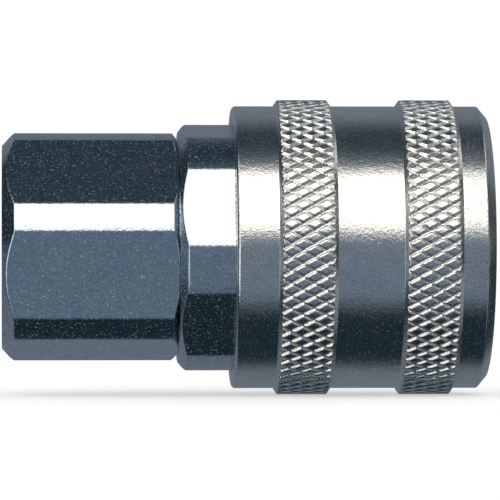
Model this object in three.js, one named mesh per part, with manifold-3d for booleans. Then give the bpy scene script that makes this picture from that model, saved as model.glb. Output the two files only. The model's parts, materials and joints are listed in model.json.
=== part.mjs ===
// Quick disconnect coupler: the socket half of a one-way compressed-air coupling, G 1/4 female.
// Millimetres, +Z up. The coupler lies along X, threaded port at -X and mouth at +X, and its
// origin is on its axis, halfway along. Inside this file every station along the axis is
// measured from the port face, and the finished group is then moved back by half the length.
import * as THREE from "three";
import { mergeVertices } from "three/addons/utils/BufferGeometryUtils.js";
import Module from "manifold-3d";

const wasm = await Module();
wasm.setup();

// ---------------------------------------------------------------- driving dimensions
const ROUND = 48; // sides of a turned surface
const CLEAR = 0.05; // gap between two parts that touch on the real coupler
const BREAK = 0.3; // small chamfer that takes the edge off a turned corner
const OVERSHOOT = 1; // how far a drill runs past the wall it cuts

const coupler = { length: 43 };
const travel = { sleeve: 3.5, ball: 1.0, poppet: 3.4 };

// Rear adapter: a 19 mm hexagon at the small end of its tolerance. The turn of a hexagon is the
// angle of one corner, from straight up towards -Y.
const adapter = {
  acrossFlats: 18.87,
  turn: 15.5,
  front: 15.5,
  cornerRadius: 10.22,
  portFaceRadius: 9.0,
  portChamfer: 1.1,
  frontFaceRadius: 9.6,
  frontChamfer: 0.45,
  airwayRadius: 4.2,
  spigotRadius: 8.4,
  spigotEnd: 20.8,
  noseRadius: 7.7,
  noseEnd: 23.0,
};
const port = {
  threadMajorRadius: 6.579,
  threadMinorRadius: 5.723,
  depth: 11.6,
  runOut: 1.4,
  runOutDepth: 0.1,
};
const chamber = { start: 17.0, radius: 5.9 }; // counterbore that holds the valve guide and spring
const oRing = { station: 22.0, cordRadius: 0.6, ringRadius: 7.25, groove: [21.3, 22.7], grooveRadius: 6.6 };
const guide = {
  thickness: 1.3,
  stemHoleRadius: 1.7,
  windowRadii: [2.5, 3.9],
  windowMiddles: [90, 210, 330],
  windowHalfAngle: 45,
};

// Valve body
const collar = { acrossFlats: 21, turn: -19.4, start: 15.6, end: 22.0 };
const collarCorner = { radius: 11.05, faceRadius: 10.25, chamfer: 0.65 };
const body = {
  pilotRadius: 9.6,
  pilotEnd: 24.0,
  noseRadius: 8.6,
  front: 42.4,
  threadRadius: 8.5,
  sealBoreRadius: 7.9,
  valveRadius: 6.6,
  seat: 28.6,
  seatRadius: 4.6,
  plugTip: 30.0,
  plugTipRadius: 5.1,
  sealGroove: [32.2, 34.8],
  sealGrooveRadius: 7.1,
  plugRadius: 6.05,
  mouthRadius: 6.9,
  mouthChamfer: 0.9,
};

// Lip of the plug seal, as [distance from the seal's start, radius]
const lip = { back: [1.7, 5.2], tip: [0.9, 4.85], front: [0.5, 5.0], root: [1.1, 6.0], heelRadius: 6.3 };

const balls = { count: 8, radius: 1.6, station: 38.35, ring: 7.05, lipRadius: 1.45, holeRadius: 1.7 };
const ring = { start: 40.4, thickness: 1.0, outerRadius: 9.6, grooveRadius: 7.9, gapDegrees: 34 };

// Locking sleeve. Its two grip bands are alike: each rises over a shoulder at both ends.
const sleeve = {
  start: 20.4,
  radius: 12.55,
  bandRadius: 13.1,
  bandStarts: [24.08, 34.98],
  bandWidth: 5.1,
  bandShoulder: 0.38,
  rearChamfer: [0.2, 0.2],
  rearBoreRadius: 11.25,
  landStart: 33.5,
  landRadius: 8.8,
  rampLead: 0.1,
  mouthRadius: 9.8,
  frontChamfer: 0.8,
  frontFaceRadius: 11.6,
};
const washer = { innerRadius: 8.9, outerRadius: 11.0, thickness: 0.6 };
const washerStart = sleeve.landStart - CLEAR - washer.thickness;

// Valve
const poppet = {
  stemStart: 17.4,
  stemRadius: 1.5,
  headStart: 26.2,
  headEnd: 27.05,
  headRadius: 5.6,
  springSpigot: [3.9, 0.9],
  neckRadius: 4.25,
  front: 33.0,
  fin: 1.1,
};
const poppetSealRing = { station: 27.8, cordRadius: 0.7, ringRadius: 5.05 };

// Springs
const sleeveCoil = { coilRadius: 10.4, wireRadius: 0.5, turns: 6 };
const valveCoil = { coilRadius: 4.7, wireRadius: 0.35, turns: 6 };

// ---------------------------------------------------------------- finishes
const finish = {
  darkNickel: { color: 0x8c95a0, roughness: 0.32, metalness: 1 },
  nickel: { color: 0xc9c8c2, roughness: 0.28, metalness: 1 },
  springSteel: { color: 0x9a9c9e, roughness: 0.35, metalness: 1 },
  ballSteel: { color: 0xd4d6d8, roughness: 0.12, metalness: 1 },
  brass: { color: 0xb79a5b, roughness: 0.35, metalness: 1 },
  rubber: { color: 0x1a1a1b, roughness: 0.75, metalness: 0 },
};

// ---------------------------------------------------------------- shape helpers
const radians = THREE.MathUtils.degToRad;

// A closed outline of [station, radius] points, turned about the coupler's axis.
function turned(outline, sides = ROUND) {
  const points = outline.map(([station, radius]) => new THREE.Vector2(radius, station));
  points.push(points[0].clone());
  return new THREE.LatheGeometry(points, sides).rotateZ(-Math.PI / 2);
}

// A hexagonal bar along the axis, long enough to hold the whole coupler.
function hexBar({ acrossFlats, turn }) {
  const cornerRadius = acrossFlats / Math.sqrt(3);
  return new THREE.CylinderGeometry(cornerRadius, cornerRadius, 3 * coupler.length, 6)
    .rotateZ(-Math.PI / 2)
    .rotateX(radians(turn));
}

// A flat plate that faces along the axis, cut from a shape drawn in the YZ plane.
function plate(shape, start, thickness) {
  return new THREE.ExtrudeGeometry(shape, { depth: thickness, bevelEnabled: false, curveSegments: 16 })
    .rotateY(Math.PI / 2)
    .translate(start, 0, 0);
}

// The corners of a circle whose centre is at a height above the origin.
function circle(height, radius, sides) {
  return Array.from({ length: sides }, (_, i) => {
    const angle = (2 * Math.PI * i) / sides;
    return new THREE.Vector2(radius * Math.cos(angle), height + radius * Math.sin(angle));
  });
}

function cordRing({ station, ringRadius, cordRadius }) {
  return turned(circle(station, cordRadius, 8).map((point) => [point.y, ringRadius + point.x]), 36);
}

// A compression spring between two stations, with one close coil at each end: a straight bar
// of wire, one unit long for each turn, wound round the axis.
function coilSpring(start, end, { coilRadius, wireRadius, turns }) {
  const closePitch = 2 * wireRadius + CLEAR;
  const openPitch = (end - start - 2 * wireRadius - 2 * closePitch) / (turns - 2);
  const stationAt = (turn) => {
    const closeTurns = Math.min(turn, 1) + Math.max(turn - (turns - 1), 0);
    return start + wireRadius + closePitch * closeTurns + openPitch * (turn - closeTurns);
  };
  const wire = new THREE.Shape(circle(coilRadius, wireRadius, 6));
  const bar = new THREE.ExtrudeGeometry(wire, { depth: turns, steps: 16 * turns, bevelEnabled: false });
  const spots = bar.getAttribute("position");
  for (let i = 0; i < spots.count; i++) {
    const [along, radius, turn] = [spots.getX(i), spots.getY(i), spots.getZ(i)];
    const angle = -2 * Math.PI * turn;
    spots.setXYZ(i, stationAt(turn) + along, radius * Math.sin(angle), radius * Math.cos(angle));
  }
  return bar;
}

// ---------------------------------------------------------------- booleans
function solid(geometry) {
  const bare = geometry.clone();
  bare.deleteAttribute("normal");
  bare.deleteAttribute("uv");
  const merged = mergeVertices(bare, 1e-4);
  return new wasm.Manifold(
    new wasm.Mesh({
      numProp: 3,
      vertProperties: merged.getAttribute("position").array,
      triVerts: new Uint32Array(merged.index.array),
    }),
  );
}

function geometryOf(made) {
  const mesh = made.getMesh();
  return new THREE.BufferGeometry()
    .setAttribute("position", new THREE.BufferAttribute(mesh.vertProperties, 3))
    .setIndex(new THREE.BufferAttribute(mesh.triVerts, 1));
}

// ---------------------------------------------------------------- fixed parts
// Rear adapter: hexagon with turned corners, port bored to the thread's minor diameter, and a
// spigot that screws into the body.
function threadedAdapter() {
  const countersink = port.threadMajorRadius + BREAK;
  const undercut = port.threadMajorRadius + port.runOutDepth;
  const taper = undercut - port.threadMinorRadius;
  const runOutEnd = port.depth + port.runOut;
  const outside = turned([
    [0, countersink],
    [0, adapter.portFaceRadius],
    [adapter.portChamfer, adapter.cornerRadius],
    [adapter.front - adapter.frontChamfer, adapter.cornerRadius],
    [adapter.front, adapter.frontFaceRadius],
    [adapter.front, adapter.spigotRadius],
    [adapter.spigotEnd - BREAK, adapter.spigotRadius],
    [adapter.spigotEnd, adapter.noseRadius],
    [oRing.groove[0], adapter.noseRadius],
    [oRing.groove[0], oRing.grooveRadius],
    [oRing.groove[1], oRing.grooveRadius],
    [oRing.groove[1], adapter.noseRadius],
    [adapter.noseEnd, adapter.noseRadius],
    [adapter.noseEnd, chamber.radius],
    [chamber.start, chamber.radius],
    [chamber.start, adapter.airwayRadius],
    [runOutEnd, adapter.airwayRadius],
    [runOutEnd, undercut],
    [port.depth, undercut],
    [port.depth - taper, port.threadMinorRadius],
    [countersink - port.threadMinorRadius, port.threadMinorRadius],
  ]);
  return geometryOf(solid(outside).intersect(solid(hexBar(adapter))));
}

// Valve body: hexagon collar, valve seat, seal groove, holes for the balls, groove for the ring.
function valveBody() {
  const [sealStart, sealEnd] = body.sealGroove;
  const ringStart = ring.start - CLEAR;
  const ringEnd = ring.start + ring.thickness + CLEAR;
  const boreEnd = adapter.noseEnd + CLEAR;
  const threadEnd = adapter.spigotEnd + CLEAR;
  const outside = turned([
    [collar.start, body.threadRadius + BREAK],
    [collar.start, collarCorner.faceRadius],
    [collar.start + collarCorner.chamfer, collarCorner.radius],
    [collar.end, collarCorner.radius],
    [collar.end, body.pilotRadius],
    [body.pilotEnd, body.pilotRadius],
    [body.pilotEnd, body.noseRadius],
    [ringStart, body.noseRadius],
    [ringStart, ring.grooveRadius],
    [ringEnd, ring.grooveRadius],
    [ringEnd, body.noseRadius],
    [body.front - BREAK, body.noseRadius],
    [body.front, body.noseRadius - BREAK],
    [body.front, body.mouthRadius],
    [body.front - body.mouthChamfer, body.plugRadius],
    [sealEnd, body.plugRadius],
    [sealEnd, body.sealGrooveRadius],
    [sealStart, body.sealGrooveRadius],
    [sealStart, body.plugTipRadius],
    [body.plugTip, body.plugTipRadius],
    [body.plugTip - BREAK, body.seatRadius],
    [body.seat, body.seatRadius],
    [body.seat, body.valveRadius],
    [boreEnd, body.valveRadius],
    [boreEnd, body.sealBoreRadius],
    [threadEnd, body.sealBoreRadius],
    [threadEnd, body.threadRadius],
    [collar.start + BREAK, body.threadRadius],
  ]);
  const blank = solid(outside).intersect(solid(hexBar(collar)));
  return geometryOf(ballAngles.reduce((rest, angle) => rest.subtract(ballHole(angle)), blank));
}

// Angles of the balls about the axis, from straight up towards -Y.
const ballAngles = Array.from({ length: balls.count }, (_, i) => ((i + 0.5) * 360) / balls.count);

// A stepped hole: wide enough outside for the ball, with a lip that keeps it out of the bore.
function ballHole(angle) {
  const bottom = body.plugRadius - OVERSHOOT;
  const top = body.noseRadius + OVERSHOOT;
  const lipTop = balls.ring - Math.sqrt(balls.radius ** 2 - balls.lipRadius ** 2) - CLEAR;
  const outline = [
    [0, bottom],
    [balls.lipRadius, bottom],
    [balls.lipRadius, lipTop],
    [balls.holeRadius, lipTop],
    [balls.holeRadius, top],
    [0, top],
  ];
  const points = outline.map(([radius, height]) => new THREE.Vector2(radius, height));
  const drill = new THREE.LatheGeometry(points, 14)
    .rotateX(Math.PI / 2)
    .translate(balls.station, 0, 0)
    .rotateX(radians(angle));
  return solid(drill);
}

// Star guide: carries the poppet's stem and the rear end of the valve spring.
function valveGuide() {
  const [inner, outer] = guide.windowRadii;
  const disc = new THREE.Shape().absarc(0, 0, chamber.radius - CLEAR, 0, 2 * Math.PI);
  disc.holes.push(new THREE.Path().absarc(0, 0, guide.stemHoleRadius, 0, 2 * Math.PI));
  for (const middle of guide.windowMiddles) {
    const [from, to] = [radians(middle - guide.windowHalfAngle), radians(middle + guide.windowHalfAngle)];
    disc.holes.push(new THREE.Path().absarc(0, 0, outer, from, to).absarc(0, 0, inner, to, from, true));
  }
  return plate(disc, chamber.start + CLEAR, guide.thickness);
}

// Lip seal that grips the plug's tip. Its lip leans back towards the air pressure.
function plugSeal() {
  const start = body.sealGroove[0] + CLEAR;
  const end = body.sealGroove[1] - CLEAR;
  const backRadius = body.sealGrooveRadius - CLEAR;
  const lipCorners = [lip.back, lip.tip, lip.front, lip.root];
  const lipPoints = lipCorners.map(([along, radius]) => [start + along, radius]);
  return turned([
    [end, backRadius],
    [end, body.plugRadius],
    ...lipPoints,
    [start, lip.heelRadius],
    [start, backRadius],
  ]);
}

// Open spring-steel ring in the body's front groove. It stops the sleeve.
function retainingRing() {
  const from = radians(ring.gapDegrees / 2);
  const to = 2 * Math.PI - from;
  const outline = new THREE.Shape().absarc(0, 0, ring.outerRadius, from, to);
  outline.absarc(0, 0, ring.grooveRadius + CLEAR, to, from, true);
  return plate(outline, ring.start, ring.thickness);
}

// ---------------------------------------------------------------- moving parts
// Sleeve: two raised grip bands outside; inside, a land that holds the balls in and a ramp
// ahead of it that lets them out as the sleeve is drawn back.
function lockingSleeve() {
  const [rearAlong, rearIn] = sleeve.rearChamfer;
  const rampStart = balls.station - sleeve.rampLead;
  const shoulder = ring.start - CLEAR;
  const rampEndRadius = sleeve.landRadius + ((shoulder - rampStart) * travel.ball) / travel.sleeve;
  const bandOutline = sleeve.bandStarts.flatMap((start) => {
    const end = start + sleeve.bandWidth;
    return [
      [start, sleeve.radius],
      [start + sleeve.bandShoulder, sleeve.bandRadius],
      [end - sleeve.bandShoulder, sleeve.bandRadius],
      [end, sleeve.radius],
    ];
  });
  return turned([
    [sleeve.start, sleeve.rearBoreRadius + BREAK],
    [sleeve.start, sleeve.radius - rearIn],
    [sleeve.start + rearAlong, sleeve.radius],
    ...bandOutline,
    [coupler.length - sleeve.frontChamfer, sleeve.radius],
    [coupler.length, sleeve.frontFaceRadius],
    [coupler.length, sleeve.mouthRadius + BREAK],
    [coupler.length - BREAK, sleeve.mouthRadius],
    [shoulder, sleeve.mouthRadius],
    [shoulder, rampEndRadius],
    [rampStart, sleeve.landRadius],
    [sleeve.landStart, sleeve.landRadius],
    [sleeve.landStart, sleeve.rearBoreRadius],
    [sleeve.start + BREAK, sleeve.rearBoreRadius],
  ]);
}

// Thrust washer between the sleeve's shoulder and its spring: it slides with the sleeve but
// lets the sleeve turn.
function springWasher() {
  const washerEnd = washerStart + washer.thickness;
  return turned([
    [washerStart, washer.innerRadius],
    [washerStart, washer.outerRadius],
    [washerEnd, washer.outerRadius],
    [washerEnd, washer.innerRadius],
  ]);
}

function lockingBall(angle) {
  return new THREE.SphereGeometry(balls.radius, 12, 8)
    .translate(balls.station, 0, balls.ring)
    .rotateX(radians(angle));
}

// Poppet: guided stem, head that carries the seal, and a cross that the plug pushes back.
function valvePoppet() {
  const [spigotRadius, spigotLength] = poppet.springSpigot;
  const whole = turned(
    [
      [poppet.stemStart, 0],
      [poppet.stemStart, poppet.stemRadius - BREAK],
      [poppet.stemStart + BREAK, poppet.stemRadius],
      [poppet.headStart - spigotLength - BREAK, poppet.stemRadius],
      [poppet.headStart - spigotLength, spigotRadius],
      [poppet.headStart, spigotRadius],
      [poppet.headStart, poppet.headRadius],
      [poppet.headEnd, poppet.headRadius],
      [poppet.headEnd, poppet.neckRadius],
      [poppet.front - BREAK, poppet.neckRadius],
      [poppet.front, poppet.neckRadius - BREAK],
      [poppet.front, 0],
    ],
    32,
  );
  const side = 2 * poppet.neckRadius;
  const pocket = new THREE.BoxGeometry(side, side, side).translate(
    body.seat + side / 2,
    (side + poppet.fin) / 2,
    (side + poppet.fin) / 2,
  );
  const pockets = [0, 90, 180, 270].map((angle) => solid(pocket.clone().rotateX(radians(angle))));
  return geometryOf(pockets.reduce((rest, cut) => rest.subtract(cut), solid(whole)));
}

// ---------------------------------------------------------------- assembly
function part(name, geometry, look) {
  const mesh = new THREE.Mesh(geometry, new THREE.MeshStandardMaterial(look));
  mesh.name = name;
  return mesh;
}

function fixedParts() {
  const group = new THREE.Group();
  const valveSpringStart = chamber.start + guide.thickness + 2 * CLEAR;
  return group.add(
    part("threaded_adapter", threadedAdapter(), finish.darkNickel),
    part("valve_body", valveBody(), finish.darkNickel),
    part("adapter_o_ring", cordRing(oRing), finish.rubber),
    part("valve_guide", valveGuide(), finish.brass),
    part(
      "valve_spring",
      coilSpring(valveSpringStart, poppet.headStart - CLEAR, valveCoil),
      finish.springSteel,
    ),
    part("plug_seal", plugSeal(), finish.rubber),
    part("retaining_ring", retainingRing(), finish.springSteel),
    part(
      "sleeve_spring",
      coilSpring(collar.end + CLEAR, washerStart - CLEAR, sleeveCoil),
      finish.springSteel,
    ),
  );
}

function movingParts() {
  const group = new THREE.Group();
  ballAngles.forEach((angle, i) => {
    group.add(part(`locking_ball_${i + 1}`, lockingBall(angle), finish.ballSteel));
  });
  return group.add(
    part("locking_sleeve", lockingSleeve(), finish.nickel),
    part("spring_washer", springWasher(), finish.springSteel),
    part("valve_poppet", valvePoppet(), finish.brass),
    part("poppet_seal", cordRing(poppetSealRing), finish.rubber),
  );
}

const assembly = new THREE.Group();
assembly.add(fixedParts(), movingParts());
assembly.position.x = -coupler.length / 2;

const root = new THREE.Group();
root.add(assembly);

export default root;
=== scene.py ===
import json
import math

import bmesh
import bpy
import numpy as np
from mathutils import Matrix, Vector


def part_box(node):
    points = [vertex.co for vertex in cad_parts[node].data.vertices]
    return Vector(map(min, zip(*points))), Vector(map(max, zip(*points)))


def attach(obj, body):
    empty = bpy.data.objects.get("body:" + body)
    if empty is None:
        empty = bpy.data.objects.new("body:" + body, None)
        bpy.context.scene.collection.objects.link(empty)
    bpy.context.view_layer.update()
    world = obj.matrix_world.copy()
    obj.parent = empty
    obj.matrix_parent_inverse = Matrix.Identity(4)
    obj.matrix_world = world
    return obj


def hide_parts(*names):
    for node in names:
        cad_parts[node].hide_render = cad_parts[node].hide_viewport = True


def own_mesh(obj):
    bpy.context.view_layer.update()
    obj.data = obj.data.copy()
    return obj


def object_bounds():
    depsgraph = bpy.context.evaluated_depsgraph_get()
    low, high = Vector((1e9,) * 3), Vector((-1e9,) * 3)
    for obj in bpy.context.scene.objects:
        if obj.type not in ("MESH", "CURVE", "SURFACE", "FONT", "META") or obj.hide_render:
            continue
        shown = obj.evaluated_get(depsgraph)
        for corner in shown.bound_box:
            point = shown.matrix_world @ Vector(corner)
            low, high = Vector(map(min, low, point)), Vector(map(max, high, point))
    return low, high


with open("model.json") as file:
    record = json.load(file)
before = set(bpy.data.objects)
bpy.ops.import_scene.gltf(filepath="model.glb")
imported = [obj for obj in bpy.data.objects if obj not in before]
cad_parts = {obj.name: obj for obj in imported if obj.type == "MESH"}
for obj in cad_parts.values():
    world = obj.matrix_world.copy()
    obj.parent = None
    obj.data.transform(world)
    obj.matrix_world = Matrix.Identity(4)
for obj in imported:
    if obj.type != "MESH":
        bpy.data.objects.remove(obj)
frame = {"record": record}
cad_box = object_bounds()

# ------------------------------------------------------------------ dimensions
# Lengths are in millimetres. A station is measured along the axis from the port face, and an
# angle about the axis is measured from straight up towards the camera's side (-Y).
MM = 0.001
PORT_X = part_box("threaded_adapter")[0].x
LENGTH = (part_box("locking_sleeve")[1].x - PORT_X) / MM
BAND_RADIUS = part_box("locking_sleeve")[1].z / MM
EDGE = 0.12  # rounding of a turned edge
FINE_EDGE = 0.05  # rounding of a crisp edge
PLAY = 0.05  # room between two pieces that touch
ARC_POINTS = 4  # steps in the rounding of a corner
CHAMFER_STEP = 0.05  # mesh rows on a chamfer, which the hexagon's flats cut into arcs
HEX_EDGE = 0.09  # rounding between a hexagon's flats and its turned corners
HEX_REACH = 1.4  # outline points this far inside the flats still belong to the outside
SHARP_ANGLE = 35  # edges bent by more degrees than this are shaded sharp

ADAPTER_HEX = {"across_flats": 18.87, "turn": 15.5}
ADAPTER_FRONT = 15.5
ADAPTER_CORNER = 10.22
COLLAR_HEX = {"across_flats": 21.0, "turn": -19.4}
COLLAR_START = 15.6
COLLAR_END = 22.0
COLLAR_CORNER = 11.05

THREAD_MAJOR = 6.58
THREAD_MINOR = 5.72
THREAD_PITCH = 25.4 / 19
THREAD_DEPTH = 11.6
THREAD_FLANK = math.radians(27.5)
COUNTERSINK = THREAD_MAJOR + 0.3
AIRWAY_RADIUS = 4.2
CHAMBER_START = 17.0
CHAMBER_RADIUS = 5.9
SPIGOT_RADIUS = 8.4  # the adapter's spigot is screwed into the body, and its nose holds a seal ring
SPIGOT_NOSE = 20.5
SPIGOT_NOSE_RADIUS = 7.7
SPIGOT_END = 23.0
CORD_GROOVE = (21.3, 22.7)
CORD_GROOVE_RADIUS = 6.6

NOSE_RADIUS = 8.6
NOSE_START = 24.0
SHOULDER_RADIUS = 9.6
BODY_FRONT = 42.4
PLUG_RADIUS = 6.05
SEAL_GROOVE = (32.2, 34.8)
SEAL_GROOVE_RADIUS = 7.1
SEAT_END = 30.0
SEAT_START = 28.6
SEAT_RADIUS = 4.6
SEAT_BORE = 5.1
BODY_CHAMBER_RADIUS = 6.6
BALL_RADIUS = 1.6
BALL_STATION = 38.35
BALL_RING = 7.05
BALL_COUNT = 8
BALL_HOLE = 1.7
BALL_LIP = 1.45  # radius of the lip that keeps a ball out of the bore
RING_START = 40.4
RING_END = 41.4
RING_GROOVE_RADIUS = 7.9
RING_GAP = math.radians(34)

SLEEVE_START = 20.4
SLEEVE_RADIUS = 12.55
SPRING_ROOM_RADIUS = 11.25
SPRING_ROOM_END = 33.5
RAMP_START = 38.25  # the ramp lets the balls out as the sleeve is drawn back
RAMP_END = 40.35
RAMP_RADII = (8.8, 9.4)
FRONT_BORE_RADIUS = 9.8
BAND_STARTS = (24.08, 34.98)
BAND_WIDTH = 5.1
BAND_SHOULDER = 0.38
KNURL_TEETH = 71
KNURL_ANGLE = math.radians(30)
KNURL_DEPTHS = (0.23, 0.185)  # of the grooves that rise and fall along the axis
KNURL_SLOPE = 1.0  # rise of a groove's flank for each millimetre round the band
KNURL_EDGE = 0.03  # rounding of each tooth's rim
KNURL_STEPS = 18  # mesh columns across one tooth
GRIP_ROUGHNESS = 0.05  # how much rougher the knurled bands are
PEBBLE_HEIGHT = 0.012
CLOUD_SCALE = 0.7
COARSE_SCALE = 3.2
FINE_SCALE = 7.5
FLECK_SCALE = 5.0

# The cord rings and the springs, each with its station or ends, its radius and half its thickness.
BODY_SEAL = {"station": 22.0, "radius": 7.25, "cord_radius": 0.6}
POPPET_SEAL = {"station": 27.8, "radius": 5.05, "cord_radius": 0.7}
SLEEVE_SPRING = {"start": 22.05, "end": 32.8, "coil_radius": 10.4, "wire_radius": 0.5}
VALVE_SPRING = {"start": 18.4, "end": 26.15, "coil_radius": 4.7, "wire_radius": 0.35}
SPRING_TURNS = 6
WASHER_START = 32.85
WASHER_END = 33.45
GUIDE_START = 17.05
GUIDE_THICKNESS = 1.3


def x_of(station):
    return PORT_X + station * MM


# ------------------------------------------------------------------ outlines
def rounded(corners):
    """A closed outline of (station, radius, rounding) corners as (station, radius) points."""
    points = []
    for i, (station, radius, rounding) in enumerate(corners):
        here = Vector((station, radius))
        before = Vector(corners[i - 1][:2]) - here
        after = Vector(corners[(i + 1) % len(corners)][:2]) - here
        if rounding == 0:
            points.append(tuple(here))
            continue
        half = before.angle(after) / 2
        reach = min(rounding / math.tan(half), 0.45 * before.length, 0.45 * after.length)
        start = here + before.normalized() * reach
        end = here + after.normalized() * reach
        for step in range(ARC_POINTS + 1):
            t = step / ARC_POINTS
            points.append(tuple((1 - t) ** 2 * start + 2 * t * (1 - t) * here + t * t * end))
    return points


def divided(points, longest_at):
    """The same closed outline with each stretch cut into steps no longer than longest_at(middle)."""
    result = []
    for i, point in enumerate(points):
        start = Vector(point)
        end = Vector(points[(i + 1) % len(points)])
        middle = (start + end) / 2
        steps = max(1, math.ceil((end - start).length / longest_at(middle.x, middle.y)))
        result += [tuple(start.lerp(end, step / steps)) for step in range(steps)]
    return result


def circle(station, radius, size, count):
    turns = [2 * math.pi * i / count for i in range(count)]
    return [(station + size * math.cos(t), radius + size * math.sin(t)) for t in turns]


# ------------------------------------------------------------------ meshes
def new_piece(name, vertices, faces, smooth_angle=SHARP_ANGLE):
    """An object made of vertices in metres, shaded smooth except at sharp edges."""
    mesh = bpy.data.meshes.new(name)
    mesh.from_pydata([tuple(v) for v in vertices], [], [tuple(f) for f in faces])
    return finished_piece(name, mesh, smooth_angle)


def finished_piece(name, mesh, smooth_angle=SHARP_ANGLE):
    """The object for a mesh, with its normals facing out and evened."""
    working = bmesh.new()
    working.from_mesh(mesh)
    bmesh.ops.recalc_face_normals(working, faces=working.faces)
    working.to_mesh(mesh)
    working.free()
    mesh.shade_smooth()
    mesh.set_sharp_from_angle(angle=math.radians(smooth_angle))
    piece = bpy.data.objects.new(name, mesh)
    bpy.context.scene.collection.objects.link(piece)
    weighted = piece.modifiers.new("even_shading", "WEIGHTED_NORMAL")
    weighted.keep_sharp = True
    return piece


def around(station, radius, angle):
    """Points in metres at stations, radii and angles about the axis, as rows of x, y, z."""
    x = PORT_X + np.asarray(station) * MM
    y = -np.asarray(radius) * np.sin(angle) * MM
    z = np.asarray(radius) * np.cos(angle) * MM
    return np.stack(np.broadcast_arrays(x, y, z), axis=-1).reshape(-1, 3)


def grid_faces(rows, columns, rows_close, columns_close):
    """Four-cornered faces of a grid whose vertices run column by column along each row."""
    i = np.arange(rows if rows_close else rows - 1)[:, None]
    j = np.arange(columns if columns_close else columns - 1)[None, :]
    next_i = (i + 1) % rows
    next_j = (j + 1) % columns
    row, next_row = i * columns, next_i * columns
    corners = (row + j, row + next_j, next_row + next_j, next_row + j)
    return np.stack(corners, axis=-1).reshape(-1, 4).tolist()


def turned(name, points, columns, radius_at=None, smooth_angle=SHARP_ANGLE):
    """A closed outline turned about the axis. radius_at(station, radius, angle) may reshape it."""
    station, radius = (column[:, None] for column in np.array(points).T)
    angle = np.arange(columns)[None, :] * (2 * math.pi / columns)
    if radius_at:
        radius = radius_at(station, radius, angle)
    faces = grid_faces(len(points), columns, rows_close=True, columns_close=True)
    return new_piece(name, around(station, radius, angle), faces, smooth_angle)


def turned_solid(name, points, columns, radius_at):
    """An open outline that starts and ends on the axis, turned into a solid."""
    station, radius = (column[:, None] for column in np.array(points[1:-1]).T)
    angle = np.arange(columns)[None, :] * (2 * math.pi / columns)
    radius = radius_at(station, radius, angle)
    rows = len(points) - 2
    faces = grid_faces(rows, columns, rows_close=False, columns_close=True)
    ends = [(x_of(points[0][0]), 0, 0), (x_of(points[-1][0]), 0, 0)]
    first = rows * columns
    last = first + 1
    last_row = (rows - 1) * columns
    for j in range(columns):
        beside = (j + 1) % columns
        faces.append((first, beside, j))
        faces.append((last, last_row + j, last_row + beside))
    vertices = np.concatenate([around(station, radius, angle), ends])
    return new_piece(name, vertices, faces)


def swept(name, sections):
    """Closed sections, one after the other along a path, with both ends capped."""
    count = sections.shape[1]
    faces = grid_faces(len(sections), count, rows_close=False, columns_close=True)
    last = (len(sections) - 1) * count
    faces.append(list(range(count)))
    faces.append(list(range(last, last + count)))
    return new_piece(name, sections.reshape(-1, 3), faces)


def smaller(first, second, blend):
    """The smaller of two lengths, rounded off where they cross."""
    share = np.clip(0.5 + 0.5 * (second - first) / blend, 0, 1)
    return second * (1 - share) + first * share - blend * share * (1 - share)


def hexagon(across_flats, turn, start, end):
    """A function that cuts a turned piece to a hexagon between two stations."""
    sixth = math.radians(60)

    def radius_at(station, radius, angle):
        from_flat = np.mod(angle - math.radians(turn), sixth) - sixth / 2
        flat = (across_flats / 2) / np.cos(from_flat)
        cut = smaller(radius, flat, HEX_EDGE)
        outside = (radius > 0.5 * across_flats - HEX_REACH) & (station >= start) & (station <= end)
        return np.where(outside, cut, radius)

    return radius_at


# ------------------------------------------------------------------ rear adapter
def adapter():
    """The outline runs over the outside to the front, and back through the chamber and the port."""
    corners = [
        (0, COUNTERSINK, FINE_EDGE),
        (0, 9.0, EDGE),
        (1.1, ADAPTER_CORNER, EDGE),
        (ADAPTER_FRONT - 0.45, ADAPTER_CORNER, EDGE),
        (ADAPTER_FRONT, 9.6, FINE_EDGE),
        (ADAPTER_FRONT, SPIGOT_RADIUS, 0),
        (SPIGOT_NOSE, SPIGOT_RADIUS, 0),
        (SPIGOT_NOSE + 0.3, SPIGOT_NOSE_RADIUS, 0),
        (CORD_GROOVE[0], SPIGOT_NOSE_RADIUS, 0),
        (CORD_GROOVE[0], CORD_GROOVE_RADIUS, 0),
        (CORD_GROOVE[1], CORD_GROOVE_RADIUS, 0),
        (CORD_GROOVE[1], SPIGOT_NOSE_RADIUS, 0),
        (SPIGOT_END, SPIGOT_NOSE_RADIUS, 0),
        (SPIGOT_END, CHAMBER_RADIUS, FINE_EDGE),
        (CHAMBER_START, CHAMBER_RADIUS, 0),
        (CHAMBER_START, AIRWAY_RADIUS, FINE_EDGE),
        (THREAD_DEPTH + 1.4, AIRWAY_RADIUS, FINE_EDGE),
        (THREAD_DEPTH + 1.4, THREAD_MAJOR + 0.05, EDGE),
        (COUNTERSINK - THREAD_MAJOR, THREAD_MAJOR + 0.05, 0),
    ]

    def longest_at(station, radius):
        chamfer = radius > 8.9 and (station < 1.5 or station > ADAPTER_FRONT - 1.0)
        return CHAMFER_STEP if chamfer else 3.0

    shape = hexagon(**ADAPTER_HEX, start=0, end=ADAPTER_FRONT)
    shell = turned("adapter_shell", divided(rounded(corners), longest_at), 720, shape)
    join_into(shell, port_thread())
    return shell


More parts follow.
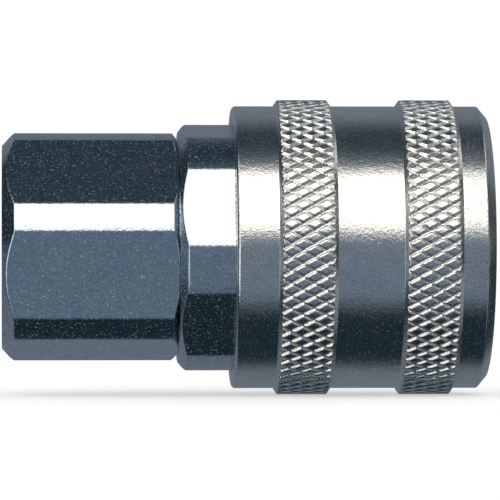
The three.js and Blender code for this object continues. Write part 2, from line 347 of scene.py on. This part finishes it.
def port_thread():
    """The ridge of the pipe thread, one closed strip that fades out at both ends."""
    per_turn = 96
    base = THREAD_MAJOR + 0.12
    crest = 0.1
    near_half = [(-1.0, 0.0), (-0.5, 0.5), (-0.12, 0.9), (0.0, 1.0)]
    profile = near_half + [(-along, inward) for along, inward in near_half[-2::-1]]
    height = base - THREAD_MINOR
    half_width = height * math.tan(THREAD_FLANK) + crest
    turns = (THREAD_DEPTH - crest - half_width) / THREAD_PITCH
    steps = int(turns * per_turn)
    turn = np.linspace(0, turns, steps + 1)[:, None]
    fade = np.clip(np.minimum(turn, turns - turn) * 3 + 0.15, 0, 1)
    along, inward = np.array(profile).T
    station = crest + half_width + turn * THREAD_PITCH + along * half_width
    mouth = COUNTERSINK - station
    radius = np.maximum(base - inward * height * fade, np.minimum(mouth, base))
    angle = -2 * math.pi * turn + 0 * along
    sections = around(station, radius, angle).reshape(steps + 1, len(profile), 3)
    return swept("port_thread", sections)


def join_into(target, extra):
    """Adds another piece's faces to a piece, and removes the other piece."""
    working = bmesh.new()
    working.from_mesh(target.data)
    working.from_mesh(extra.data)
    working.to_mesh(target.data)
    working.free()
    spare = extra.data
    bpy.data.objects.remove(extra)
    bpy.data.meshes.remove(spare)


# ------------------------------------------------------------------ valve body
def valve_body():
    """The outline runs over the collar and the nose to the front, and back through the bore."""
    corners = [
        (COLLAR_START, 8.8, 0),
        (COLLAR_START, 10.25, FINE_EDGE),
        (COLLAR_START + 0.65, COLLAR_CORNER, 0.2),
        (COLLAR_END, COLLAR_CORNER, EDGE),
        (COLLAR_END, SHOULDER_RADIUS, 0),
        (NOSE_START, SHOULDER_RADIUS, FINE_EDGE),
        (NOSE_START, NOSE_RADIUS, 0),
        (RING_START - PLAY, NOSE_RADIUS, 0),
        (RING_START - PLAY, RING_GROOVE_RADIUS, 0),
        (RING_END + PLAY, RING_GROOVE_RADIUS, 0),
        (RING_END + PLAY, NOSE_RADIUS, 0),
        (BODY_FRONT, NOSE_RADIUS, 0.3),
        (BODY_FRONT, 6.9, FINE_EDGE),
        (BODY_FRONT - 0.9, PLUG_RADIUS, EDGE),
        (SEAL_GROOVE[1], PLUG_RADIUS, FINE_EDGE),
        (SEAL_GROOVE[1], SEAL_GROOVE_RADIUS, 0),
        (SEAL_GROOVE[0], SEAL_GROOVE_RADIUS, 0),
        (SEAL_GROOVE[0], SEAT_BORE, FINE_EDGE),
        (SEAT_END, SEAT_BORE, 0),
        (SEAT_END - 0.3, SEAT_RADIUS, FINE_EDGE),
        (SEAT_START, SEAT_RADIUS, FINE_EDGE),
        (SEAT_START, BODY_CHAMBER_RADIUS, 0),
        (SPIGOT_END + PLAY, BODY_CHAMBER_RADIUS, 0),
        (SPIGOT_END + PLAY, SPIGOT_NOSE_RADIUS + 0.2, 0),
        (SPIGOT_NOSE + 0.35, SPIGOT_NOSE_RADIUS + 0.2, 0),
        (SPIGOT_NOSE + 0.35, SPIGOT_RADIUS + 0.1, 0),
        (COLLAR_START + 0.3, SPIGOT_RADIUS + 0.1, 0),
    ]

    def longest_at(station, radius):
        chamfer = radius > 9.9 and station < COLLAR_START + 1.0
        return CHAMFER_STEP if chamfer else 4.0

    shape = hexagon(**COLLAR_HEX, start=COLLAR_START, end=COLLAR_END)
    piece = turned("valve_body_shell", divided(rounded(corners), longest_at), 720, shape)
    cut_ball_holes(piece)
    return piece


def cut_ball_holes(piece):
    """Drills the ball holes. Each has a lip inside, which keeps its ball out of the bore."""
    lip_top = BALL_RING - math.sqrt(BALL_RADIUS ** 2 - BALL_LIP ** 2) - 0.05
    profile = [
        (PLUG_RADIUS - 1, BALL_LIP),
        (lip_top, BALL_LIP),
        (lip_top + 0.1, BALL_HOLE),
        (NOSE_RADIUS + 1, BALL_HOLE),
    ]
    count = 32
    vertices = []
    faces = []
    for ball in range(BALL_COUNT):
        first = len(vertices)
        for height, size in profile:
            for i in range(count):
                t = 2 * math.pi * i / count
                x = x_of(BALL_STATION) + size * math.cos(t) * MM
                spot = Vector((x, size * math.sin(t) * MM, height * MM))
                vertices.append(turned_spot(spot, ball_angle(ball)))
        rings = grid_faces(len(profile), count, rows_close=False, columns_close=True)
        faces += [[first + v for v in face] for face in rings]
        last = first + (len(profile) - 1) * count
        faces.append(list(range(first, first + count)))
        faces.append(list(range(last, last + count)))
    drill = new_piece("ball_hole_drill", vertices, faces)
    apply_boolean(piece, drill)


def turned_spot(spot, angle):
    """A point turned about the axis, from straight up towards -Y."""
    y = spot.y * math.cos(angle) - spot.z * math.sin(angle)
    z = spot.y * math.sin(angle) + spot.z * math.cos(angle)
    return Vector((spot.x, y, z))


def ball_angle(ball):
    return math.radians((ball + 0.5) * 360 / BALL_COUNT)


def apply_boolean(piece, cutter):
    """Takes the cutter out of the piece for good, and removes the cutter."""
    cut = piece.modifiers.new("cut", "BOOLEAN")
    cut.operation = "DIFFERENCE"
    cut.solver = "EXACT"
    cut.object = cutter
    shading = piece.modifiers["even_shading"]
    piece.modifiers.remove(shading)
    ready = piece.evaluated_get(bpy.context.evaluated_depsgraph_get())
    mesh = bpy.data.meshes.new_from_object(ready)
    piece.modifiers.clear()
    piece.data = mesh
    mesh.set_sharp_from_angle(angle=math.radians(SHARP_ANGLE))
    piece.modifiers.new("even_shading", "WEIGHTED_NORMAL").keep_sharp = True
    bpy.data.objects.remove(cutter)


# ------------------------------------------------------------------ sleeve
def knurl_radius(station, radius, angle):
    """Cuts crossed V grooves at 30 degrees into the two raised bands."""
    tooth = 2 * math.pi * BAND_RADIUS / KNURL_TEETH
    round_share = KNURL_TEETH * angle / (2 * math.pi)
    along_share = station * math.tan(KNURL_ANGLE) / tooth
    surface = BAND_RADIUS
    for depth, way in zip(KNURL_DEPTHS, (1, -1)):
        from_groove = 0.5 - np.abs(np.mod(round_share + way * along_share, 1) - 0.5)
        groove = BAND_RADIUS - depth + from_groove * tooth * KNURL_SLOPE
        surface = smaller(groove, surface, KNURL_EDGE)
    on_band = np.zeros(np.broadcast(station, angle).shape, bool)
    for start in BAND_STARTS:
        on_band |= (station > start) & (station < start + BAND_WIDTH) & (radius > SLEEVE_RADIUS)
    return np.where(on_band, np.minimum(radius, surface), radius)


def sleeve():
    """The outline runs over both bands to the front, and back along the ramp and the spring's room."""
    front = LENGTH
    corners = [
        (SLEEVE_START, SPRING_ROOM_RADIUS + 0.3, 0.1),
        (SLEEVE_START, SLEEVE_RADIUS - 0.2, 0.15),
        (SLEEVE_START + 0.2, SLEEVE_RADIUS, 0.25),
    ]
    for start in BAND_STARTS:
        end = start + BAND_WIDTH
        corners += [
            (start, SLEEVE_RADIUS, FINE_EDGE),
            (start + BAND_SHOULDER, BAND_RADIUS, FINE_EDGE),
            (end - BAND_SHOULDER, BAND_RADIUS, FINE_EDGE),
            (end, SLEEVE_RADIUS, FINE_EDGE),
        ]
    corners += [
        (front - 0.8, SLEEVE_RADIUS, EDGE),
        (front, 11.6, EDGE),
        (front, FRONT_BORE_RADIUS + 0.3, FINE_EDGE),
        (front - 0.3, FRONT_BORE_RADIUS, FINE_EDGE),
        (RAMP_END, FRONT_BORE_RADIUS, 0),
        (RAMP_END, RAMP_RADII[1], 0),
        (RAMP_START, RAMP_RADII[0], 0),
        (SPRING_ROOM_END, RAMP_RADII[0], 0),
        (SPRING_ROOM_END, SPRING_ROOM_RADIUS, 0),
        (SLEEVE_START + 0.3, SPRING_ROOM_RADIUS, FINE_EDGE),
    ]
    tooth = 2 * math.pi * BAND_RADIUS / KNURL_TEETH
    row = tooth / math.tan(KNURL_ANGLE) / KNURL_STEPS

    def longest_at(station, radius):
        return row if radius > SLEEVE_RADIUS + 0.01 else 4.0

    outline = divided(rounded(corners), longest_at)
    columns = KNURL_TEETH * KNURL_STEPS
    piece = turned("sleeve_shell", outline, columns, knurl_radius, smooth_angle=50)
    grip = piece.data.attributes.new("grip", "FLOAT", "POINT")
    on_band = [float(radius > SLEEVE_RADIUS + 0.1) for _, radius in outline]
    grip.data.foreach_set("value", np.repeat(on_band, columns))
    return piece


# ------------------------------------------------------------------ springs, rings and seals
def coil_spring(name, start, end, coil_radius, wire_radius):
    """A compression spring with one close coil at each end."""
    turns = SPRING_TURNS
    per_turn = 72
    around_wire = 16
    close = 2 * wire_radius + 0.05
    open_pitch = (end - start - 2 * wire_radius - 2 * close) / (turns - 2)
    turn = np.linspace(0, turns, turns * per_turn + 1)[:, None]
    close_turns = np.minimum(turn, 1) + np.maximum(turn - (turns - 1), 0)
    centre = start + wire_radius + close * close_turns + open_pitch * (turn - close_turns)
    t = np.arange(around_wire)[None, :] * (2 * math.pi / around_wire)
    station = centre + wire_radius * np.cos(t)
    radius = coil_radius + wire_radius * np.sin(t)
    sections = around(station, radius, 2 * math.pi * turn + 0 * t)
    return swept(name, sections.reshape(len(turn), around_wire, 3))


def retaining_ring():
    """An open ring of rectangular spring steel with rounded corners."""
    inner, outer = 7.95, 9.6
    section = np.array(rounded([
        (RING_START, inner, 0.1),
        (RING_START, outer, 0.15),
        (RING_END, outer, 0.15),
        (RING_END, inner, 0.1),
    ]))
    steps = 180
    gap_middle = math.radians(180)
    first = gap_middle + RING_GAP / 2
    last = gap_middle + 2 * math.pi - RING_GAP / 2
    angle = np.linspace(first, last, steps)[:, None]
    sections = around(section[None, :, 0] + 0 * angle, section[None, :, 1] + 0 * angle, angle)
    return swept("retaining_ring_wire", sections.reshape(steps, len(section), 3))


def thrust_washer():
    inner, outer, edge = 8.9, 11.0, 0.1
    corners = [
        (WASHER_START, inner, edge),
        (WASHER_START, outer, edge),
        (WASHER_END, outer, edge),
        (WASHER_END, inner, edge),
    ]
    return turned("thrust_washer", rounded(corners), 192)


def plug_seal():
    """A lip seal that fills its groove and leans into the bore."""
    start = SEAL_GROOVE[0] + PLAY
    end = SEAL_GROOVE[1] - PLAY
    corners = [
        (end, 7.05, 0.1),
        (end, 6.05, 0.2),
        (start + 1.7, 5.2, 0.5),
        (start + 0.9, 4.85, 0.15),
        (start + 0.5, 5.0, 0.1),
        (start + 1.1, 6.0, 0.2),
        (start, 6.3, 0.1),
        (start, 7.05, 0.1),
    ]
    return turned("plug_lip_seal", rounded(corners), 192)


def cord_ring(name, station, radius, cord_radius):
    return turned(name, circle(station, radius, cord_radius, 24), 160)


def valve_guide():
    """A disc with a stem hole and three kidney windows."""
    radii = (1.7, 2.5, 3.9, 5.85)  # the stem hole, the windows' two arcs and the rim
    window_ring = 1
    window_centre = 30
    window_pitch = 120
    window_half = 45
    columns = 144
    working = bmesh.new()
    angles = [2 * math.pi * j / columns for j in range(columns)]
    rings = [[working.verts.new(around(GUIDE_START, r, a)[0]) for a in angles] for r in radii]
    for ring in range(len(radii) - 1):
        inner = rings[ring]
        outer = rings[ring + 1]
        for j in range(columns):
            middle = 360 * (j + 0.5) / columns
            half_pitch = window_pitch / 2
            from_window = abs((middle - window_centre + half_pitch) % window_pitch - half_pitch)
            if ring == window_ring and from_window < window_half:
                continue
            k = (j + 1) % columns
            working.faces.new((inner[j], inner[k], outer[k], outer[j]))
    grown = bmesh.ops.extrude_face_region(working, geom=working.faces[:])
    moved = [v for v in grown["geom"] if isinstance(v, bmesh.types.BMVert)]
    bmesh.ops.translate(working, verts=moved, vec=(GUIDE_THICKNESS * MM, 0, 0))
    working.verts.index_update()
    vertices = [v.co.copy() for v in working.verts]
    faces = sorted(from_lowest([v.index for v in face.verts]) for face in working.faces)
    working.free()
    piece = new_piece("star_guide", vertices, faces)
    soften(piece, 0.08)
    return piece


def from_lowest(face):
    """The same face listed from its lowest vertex. Growing a region lists its faces in another
    order each run, so they are listed like this and sorted to make every run alike."""
    first = face.index(min(face))
    return face[first:] + face[:first]


def soften(piece, width):
    """Rounds a piece's sharp edges, before its shading is evened."""
    bevel = piece.modifiers.new("soft_edges", "BEVEL")
    bevel.width = width * MM
    bevel.segments = 2
    bevel.limit_method = "ANGLE"
    bevel.angle_limit = math.radians(50)
    piece.modifiers.move(len(piece.modifiers) - 1, 0)


# ------------------------------------------------------------------ valve
def poppet():
    """Guided stem, head, and a cross-shaped nose that the plug pushes back."""
    rear, front = 17.4, 33.0
    stem, head, neck = 1.5, 5.6, 4.25
    fin = 1.1  # thickness of the cross's arms
    foot = neck - 0.2  # where the cross starts, a step below the neck
    corners = [
        (rear, stem - 0.3),
        (rear + 0.3, stem),
        (25.0, stem),
        (25.3, 3.9),
        (26.2, 3.9),
        (26.2, head - 0.1),
        (26.3, head),
        (26.95, head),
        (27.05, head - 0.1),
        (27.05, neck),
        (28.5, neck),
        (28.6, neck - 0.1),
    ]
    cross = [
        (28.6, foot),
        (28.7, neck),
        (30.5, neck),
        (32.6, neck),
        (32.8, neck - 0.08),
        (front, neck - 0.4),
    ]
    points = [(rear, 0), *corners, *cross, (front, 0)]

    def radius_at(station, radius, angle):
        from_fin = np.abs(np.mod(angle, math.pi / 2) - math.pi / 4)
        side = (fin / 2) / np.maximum(np.sin(math.pi / 4 - from_fin), 1e-3)
        on_cross = (station > 28.65) | (radius == foot)
        return np.where(on_cross, smaller(radius, side, 0.06), radius)

    return turned_solid("poppet_body", points, 720, radius_at)


def locking_ball(ball):
    working = bmesh.new()
    bmesh.ops.create_icosphere(working, subdivisions=4, radius=BALL_RADIUS * MM)
    centre = turned_spot(Vector((x_of(BALL_STATION), 0, BALL_RING * MM)), ball_angle(ball))
    bmesh.ops.translate(working, verts=working.verts, vec=centre)
    mesh = bpy.data.meshes.new(f"steel_ball_{ball + 1}")
    working.to_mesh(mesh)
    working.free()
    return finished_piece(f"steel_ball_{ball + 1}", mesh)


# ------------------------------------------------------------------ node helpers
class Nodes:
    """Short calls for building a node tree by hand."""

    def __init__(self, tree):
        self.tree = tree
        tree.nodes.clear()

    def add(self, kind, **settings):
        node = self.tree.nodes.new(kind)
        for key, value in settings.items():
            setattr(node, key, value)
        return node

    def put(self, socket, value):
        if isinstance(value, bpy.types.NodeSocket):
            self.tree.links.new(value, socket)
        elif value is not None:
            socket.default_value = value

    def math(self, operation, first, second=None, third=None):
        node = self.add("ShaderNodeMath", operation=operation)
        for socket, value in zip(node.inputs, (first, second, third)):
            self.put(socket, value)
        return node.outputs[0]

    def scaled(self, vector, scale):
        node = self.add("ShaderNodeVectorMath", operation="MULTIPLY")
        self.put(node.inputs[0], vector)
        node.inputs[1].default_value = scale
        return node.outputs[0]

    def ramp(self, value, low, high, from_value=0.0, to_value=1.0):
        """A smooth step from from_value at low to to_value at high."""
        node = self.add("ShaderNodeMapRange", interpolation_type="SMOOTHSTEP")
        for socket, item in zip(node.inputs, (value, low, high, from_value, to_value)):
            self.put(socket, item)
        return node.outputs[0]

    def between(self, value, low, high, soft):
        """One from low to high and zero outside, with soft edges."""
        rise = self.ramp(value, low - soft, low + soft)
        fall = self.ramp(value, high - soft, high + soft, 1.0, 0.0)
        return self.math("MULTIPLY", rise, fall)

    def mix(self, share, first, second, blend="MIX"):
        node = self.add("ShaderNodeMix", data_type="RGBA", blend_type=blend)
        self.put(node.inputs[0], share)
        self.put(node.inputs[6], first)
        self.put(node.inputs[7], second)
        return node.outputs[2]

    def grey(self, value):
        node = self.add("ShaderNodeCombineColor")
        for socket in node.inputs:
            self.put(socket, value)
        return node.outputs[0]

    def noise(self, vector, scale, detail=2.0, roughness=0.5):
        node = self.add("ShaderNodeTexNoise")
        self.put(node.inputs["Vector"], vector)
        node.inputs["Scale"].default_value = scale
        node.inputs["Detail"].default_value = detail
        node.inputs["Roughness"].default_value = roughness
        return node.outputs["Fac"]

    def bump(self, height, strength, distance):
        node = self.add("ShaderNodeBump")
        self.put(node.inputs["Height"], height)
        node.inputs["Strength"].default_value = strength
        node.inputs["Distance"].default_value = distance
        return node.outputs["Normal"]


def colour(red, green, blue):
    return (red, green, blue, 1.0)


# ------------------------------------------------------------------ materials
def metal(name, bright, dull, roughness, pebble, rings, dust=0.0):
    """Plated or bare metal. Its colour is mottled, its surface pebbled, ringed by the lathe and
    flecked with dust, and it is rougher where a mesh's "grip" attribute says so."""
    material = bpy.data.materials.new(name)
    material.use_nodes = True
    nodes = Nodes(material.node_tree)
    in_mm = nodes.scaled(nodes.add("ShaderNodeTexCoord").outputs["Object"], (1000, 1000, 1000))
    grip = nodes.add("ShaderNodeAttribute", attribute_name="grip").outputs["Fac"]

    # A noise scale is in waves a millimetre. The stretched ones run round the axis.
    cloud = nodes.noise(in_mm, CLOUD_SCALE, 4.0, 0.6)
    coarse = nodes.noise(in_mm, COARSE_SCALE, 3.0, 0.6)
    fine = nodes.noise(in_mm, FINE_SCALE, 2.0, 0.6)
    ring = nodes.noise(nodes.scaled(in_mm, (13, 0.3, 0.3)), 1.0, 2.0, 0.5)
    scratch = nodes.noise(nodes.scaled(in_mm, (6, 0.5, 0.5)), 1.3, 1.0, 0.5)

    tint = nodes.mix(nodes.ramp(cloud, 0.35, 0.65), bright, dull)
    grain = nodes.ramp(fine, 0.32, 0.68, 0.78, 1.12)
    tint = nodes.mix(1.0, tint, nodes.grey(grain), "MULTIPLY")

    height = nodes.math("MULTIPLY", fine, pebble)
    height = nodes.math("MULTIPLY_ADD", coarse, 1.6 * pebble, height)
    height = nodes.math("MULTIPLY_ADD", ring, rings, height)
    rough = nodes.math("MULTIPLY_ADD", coarse, 0.16, roughness - 0.08)
    rough = nodes.math("MULTIPLY_ADD", grip, GRIP_ROUGHNESS, rough)

    surface = nodes.add("ShaderNodeBsdfPrincipled")
    surface.inputs["Metallic"].default_value = 1.0
    nodes.put(surface.inputs["Base Color"], tint)
    nodes.put(surface.inputs["Roughness"], rough)
    nodes.put(surface.inputs["Normal"], nodes.bump(height, 1.0, PEBBLE_HEIGHT * MM))

    film = nodes.add("ShaderNodeBsdfDiffuse")
    film.inputs["Color"].default_value = colour(0.62, 0.66, 0.7)
    fleck = nodes.noise(nodes.scaled(in_mm, (1, 1.2, 1.1)), FLECK_SCALE, 1.0, 0.5)
    flecks = nodes.math("POWER", nodes.ramp(fleck, 0.52, 0.78), 2.0)
    strokes = nodes.math("MULTIPLY", nodes.ramp(scratch, 0.68, 0.74), nodes.ramp(coarse, 0.5, 0.6))
    share = nodes.math("MAXIMUM", flecks, nodes.math("MULTIPLY", strokes, 0.6))
    share = nodes.math("MULTIPLY", share, dust)
    both = nodes.add("ShaderNodeMixShader")
    nodes.put(both.inputs[0], share)
    nodes.put(both.inputs[1], surface.outputs[0])
    nodes.put(both.inputs[2], film.outputs[0])
    output = nodes.add("ShaderNodeOutputMaterial")
    nodes.put(output.inputs["Surface"], both.outputs[0])
    return material


def rubber():
    """Moulded nitrile: nearly black, matt, with a dusty sheen and a faint texture."""
    material = bpy.data.materials.new("seal_rubber")
    material.use_nodes = True
    nodes = Nodes(material.node_tree)
    in_mm = nodes.scaled(nodes.add("ShaderNodeTexCoord").outputs["Object"], (1000, 1000, 1000))
    dust = nodes.noise(in_mm, 2.0, 5.0, 0.6)
    surface = nodes.add("ShaderNodeBsdfPrincipled")
    tint = nodes.mix(dust, colour(0.012, 0.012, 0.013), colour(0.03, 0.03, 0.031))
    nodes.put(surface.inputs["Base Color"], tint)
    nodes.put(surface.inputs["Roughness"], nodes.ramp(dust, 0.2, 0.8, 0.5, 0.75))
    nodes.put(surface.inputs["Normal"], nodes.bump(nodes.noise(in_mm, 12.0), 0.4, 0.01 * MM))
    output = nodes.add("ShaderNodeOutputMaterial")
    nodes.put(output.inputs["Surface"], surface.outputs[0])
    return material


def make_finishes():
    """One material for each material slot of the frame: its two tints, then how rough it is."""
    metals = {
        "dark_nickel": (
            colour(0.56, 0.63, 0.7), colour(0.5, 0.58, 0.66),
            {"roughness": 0.12, "pebble": 1.0, "rings": 0.2, "dust": 0.22},
        ),
        "satin_nickel": (
            colour(0.76, 0.76, 0.75), colour(0.71, 0.72, 0.72),
            {"roughness": 0.15, "pebble": 0.9, "rings": 0.4, "dust": 0.1},
        ),
        "spring_steel": (
            colour(0.5, 0.5, 0.5), colour(0.4, 0.4, 0.41),
            {"roughness": 0.3, "pebble": 0.5, "rings": 0.2},
        ),
        "ball_steel": (
            colour(0.78, 0.78, 0.79), colour(0.7, 0.7, 0.72),
            {"roughness": 0.12, "pebble": 0.1, "rings": 0.0},
        ),
        "brass": (
            colour(0.75, 0.58, 0.3), colour(0.62, 0.46, 0.22),
            {"roughness": 0.26, "pebble": 0.5, "rings": 0.6, "dust": 0.02},
        ),
    }
    made = {name: metal(name, bright, dull, **look) for name, (bright, dull, look) in metals.items()}
    made["seal_rubber"] = rubber()
    return made


# ------------------------------------------------------------------ pieces
finishes = make_finishes()
slot_of_node = {row["node"]: row["material_slot"] for row in frame["record"]["subparts"]}
body_of_node = {
    node: body for body, members in frame["record"]["behaviour"]["bodies"].items() for node in members
}


def show(piece, node):
    """The piece stands for a CAD node: same body, same material slot."""
    slot = slot_of_node[node]
    piece.data.materials.clear()
    piece.data.materials.append(finishes[slot])
    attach(piece, body_of_node[node])
    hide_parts(node)
    return piece


def show_spring(name, spring, node):
    """A coil spring that stands for a CAD node, given a mesh of its own."""
    piece = show(coil_spring(name, **spring), node)
    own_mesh(piece)


def build_coupler():
    show(adapter(), "threaded_adapter")
    show(valve_body(), "valve_body")
    show(sleeve(), "locking_sleeve")
    show(cord_ring("body_seal_ring", **BODY_SEAL), "adapter_o_ring")
    show(cord_ring("poppet_seal_ring", **POPPET_SEAL), "poppet_seal")
    show(valve_guide(), "valve_guide")
    show(plug_seal(), "plug_seal")
    show(retaining_ring(), "retaining_ring")
    show(thrust_washer(), "spring_washer")
    show(poppet(), "valve_poppet")
    for ball in range(BALL_COUNT):
        show(locking_ball(ball), f"locking_ball_{ball + 1}")
    show_spring("sleeve_coil", SLEEVE_SPRING, "sleeve_spring")
    show_spring("valve_coil", VALVE_SPRING, "valve_spring")


# ------------------------------------------------------------------ studio
def floor():
    """A pale floor under the coupler that doesn't show in the metal."""
    size = 6.0
    height = cad_box[0][2]
    corners = [(-size, -size, height), (size, -size, height), (size, size, height), (-size, size, height)]
    mesh = bpy.data.meshes.new("floor")
    mesh.from_pydata(corners, [], [(0, 1, 2, 3)])
    plane = bpy.data.objects.new("floor", mesh)
    bpy.context.scene.collection.objects.link(plane)
    plane.visible_glossy = False
    material = bpy.data.materials.new("floor")
    material.use_nodes = True
    surface = material.node_tree.nodes["Principled BSDF"]
    surface.inputs["Base Color"].default_value = colour(0.5, 0.5, 0.5)
    surface.inputs["Roughness"].default_value = 0.9
    surface.inputs["Emission Color"].default_value = colour(1, 1, 1)
    surface.inputs["Emission Strength"].default_value = 0.5
    mesh.materials.append(material)


# The room that the metal mirrors. Directions in it are given by two numbers: how far they point
# along the axis, from -1 at the port's end to 1 at the mouth's, and their height round the axis in
# degrees, with 0 level towards the camera, 90 straight up and 180 level behind the coupler.
BACK_WALL = (0.17, 0.2, 0.24)
FRONT_WALL = (0.17, 0.22, 0.28)
CEILING = (0.02, 0.04, 0.055)
DARK_CARD = (0.015, 0.03, 0.04)
SLATE = (0.11, 0.15, 0.2)
CHARCOAL = (0.06, 0.07, 0.075)
PALE_CARD = (0.4, 0.42, 0.44)
END_CARD = (0.35, 0.37, 0.39)
WARM_CARD = (0.3, 0.26, 0.19)
SOFT_BOX = (1.0, 0.98, 0.95)
WHITE_BOX = (1.3, 1.28, 1.23)
MAIN_BOX = (2.5, 2.4, 2.1)
STUDIO_WHITE = 1.05  # what everything but the metal's reflections sees
EVERYWHERE = (-1.2, 1.2)


def studio_light():
    """Even white light and, for reflections only, a room with dark cards and soft boxes."""
    world = bpy.data.worlds.new("studio")
    bpy.context.scene.world = world
    world.use_nodes = True
    nodes = Nodes(world.node_tree)
    direction = nodes.add("ShaderNodeTexCoord").outputs["Generated"]
    split = nodes.add("ShaderNodeSeparateXYZ")
    nodes.put(split.inputs[0], direction)
    x, y, z = split.outputs
    height = nodes.math("DEGREES", nodes.math("ARCTAN2", z, nodes.math("MULTIPLY", y, -1.0)))

    def add(base, light, heights, soft, along=EVERYWHERE, along_soft=0.05):
        """Lays a light over the base, between two heights and two places along the axis."""
        across = nodes.between(x, *along, along_soft)
        upright = nodes.between(height, *heights, soft)
        return nodes.mix(nodes.math("MULTIPLY", across, upright), base, colour(*light))

    # Surfaces that run the room's whole length.
    room = add(colour(*BACK_WALL), CEILING, (76, 120), 16)
    room = add(room, FRONT_WALL, (-80, 66), 9)
    room = add(room, DARK_CARD, (-114, -48), 11)

    # The port's end: a dark corner behind, a dark end above and slate below.
    room = add(room, DARK_CARD, (100, 190), 8, (-1.2, -0.55))
    room = add(room, DARK_CARD, (-5, 190), 5, (-1.2, -0.94), 0.02)
    room = add(room, SLATE, (-190, -5), 5, (-1.2, -0.94), 0.02)

    # The mouth's end: dark, with boxes and cards for the views from the ends and from behind.
    room = add(room, DARK_CARD, (-160, 115), 12, (0.62, 1.2), 0.08)
    room = add(room, WHITE_BOX, (98, 122), 5, (0.58, 0.92))
    room = add(room, WHITE_BOX, (15, 60), 6, (0.68, 0.94))
    room = add(room, CHARCOAL, (0, 190), 4, (0.86, 1.2), 0.04)
    room = add(room, DARK_CARD, (-190, 0), 4, (0.86, 1.2), 0.04)
    room = add(room, PALE_CARD, (-120, -40), 6, (0.8, 1.2), 0.04)
    room = add(room, END_CARD, (-190, 190), 4, (0.989, 1.2), 0.004)

    # Light for the knurl's flanks. The last one also lights the views from the mouth's side.
    room = add(room, SLATE, (-100, -40), 12, (0.4, 0.8))
    room = add(room, WARM_CARD, (-40, 10), 12, (0.4, 0.8))
    room = add(room, SOFT_BOX, (70, 110), 12, (0.3, 0.65))
    room = add(room, WHITE_BOX, (-45, 85), 6, (-0.93, -0.4))

    # The main soft box, above the camera.
    room = add(room, MAIN_BOX, (15, 62), 7, (-0.4, 0.25), 0.08)

    rays = nodes.add("ShaderNodeLightPath")
    plain = colour(STUDIO_WHITE, STUDIO_WHITE, STUDIO_WHITE)
    seen = nodes.mix(rays.outputs["Is Glossy Ray"], plain, room)
    background = nodes.add("ShaderNodeBackground")
    nodes.put(background.inputs["Color"], seen)
    output = nodes.add("ShaderNodeOutputWorld")
    nodes.put(output.inputs["Surface"], background.outputs[0])
    bpy.context.scene.view_settings.view_transform = "Standard"


def camera():
    """A long lens at the coupler's height, slightly to the port's side."""
    distance = 433 * MM
    yaw = math.radians(2.8)
    target = Vector((0.58 * MM, 0, -0.25 * MM))
    lens = bpy.data.cameras.new("camera")
    lens.lens = 350
    lens.sensor_width = 36
    lens.clip_start = 0.01
    lens.clip_end = 20
    holder = bpy.data.objects.new("camera", lens)
    holder.location = target + Vector((-math.sin(yaw), -math.cos(yaw), 0)) * distance
    holder.rotation_euler = (math.radians(90), 0, -yaw)
    bpy.context.scene.collection.objects.link(holder)
    bpy.context.scene.camera = holder


build_coupler()
floor()
studio_light()
camera()
